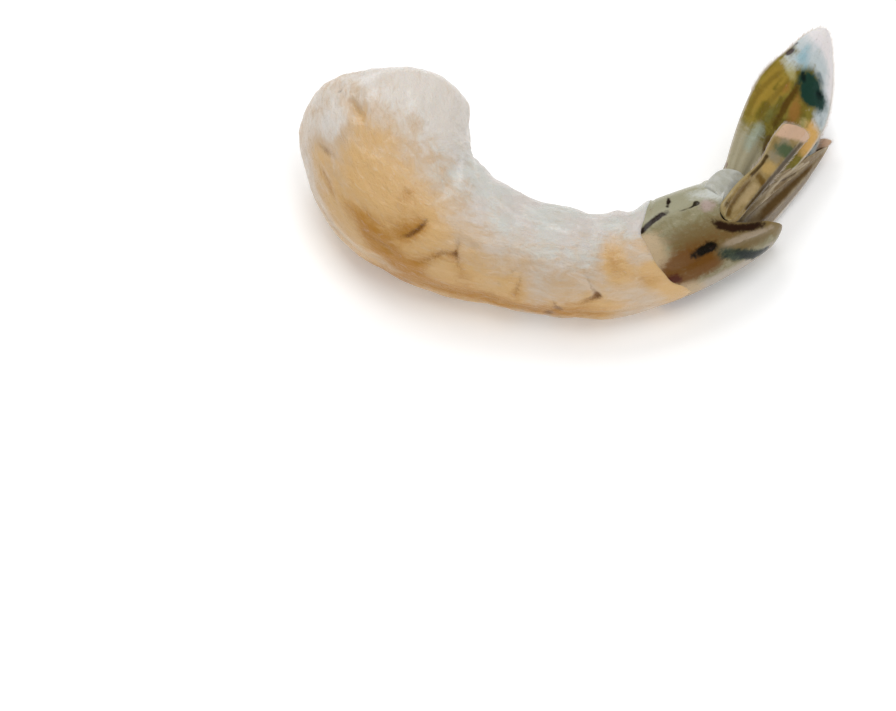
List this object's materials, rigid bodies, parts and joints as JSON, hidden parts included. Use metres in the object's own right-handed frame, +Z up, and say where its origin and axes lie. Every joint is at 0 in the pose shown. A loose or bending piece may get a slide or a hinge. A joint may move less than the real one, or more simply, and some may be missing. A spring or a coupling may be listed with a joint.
{
  "type": "whiteleg shrimp",
  "caption": "Raw whiteleg shrimp, headless and peeled down to its last segment, lying curled on its flank with the tail shell and tail fan left on, for cooking or serving.",
  "frame": {"origin": "on the surface that the shrimp lies on, under the middle of its whole outline", "axes": "+Z up, away from the surface; +X from the cut neck towards the tail fan, along the longest extent; +Y to the belly side, inside the curl"},
  "size_m": [0.0892, 0.0542, 0.0223],
  "materials": {
    "flesh": "wet, translucent grey-white raw flesh with an amber tint",
    "shell": "wet, thin, translucent grey-brown cuticle",
    "telson": "wet brown and pale gold cuticle in lengthwise stripes",
    "protopod": "wet pale grey cuticle",
    "endopod": "wet olive and gold cuticle with a pale tip",
    "exopod": "wet olive, gold and blue-green cuticle with a pale tip"
  },
  "bodies": {
    "root": {"meat": "flesh", "tail_shell": "shell", "telson": "telson", "upper_protopod": "protopod", "upper_endopod": "endopod", "upper_exopod": "exopod", "lower_protopod": "protopod", "lower_endopod": "endopod", "lower_exopod": "exopod"}
  },
  "joints": []
}
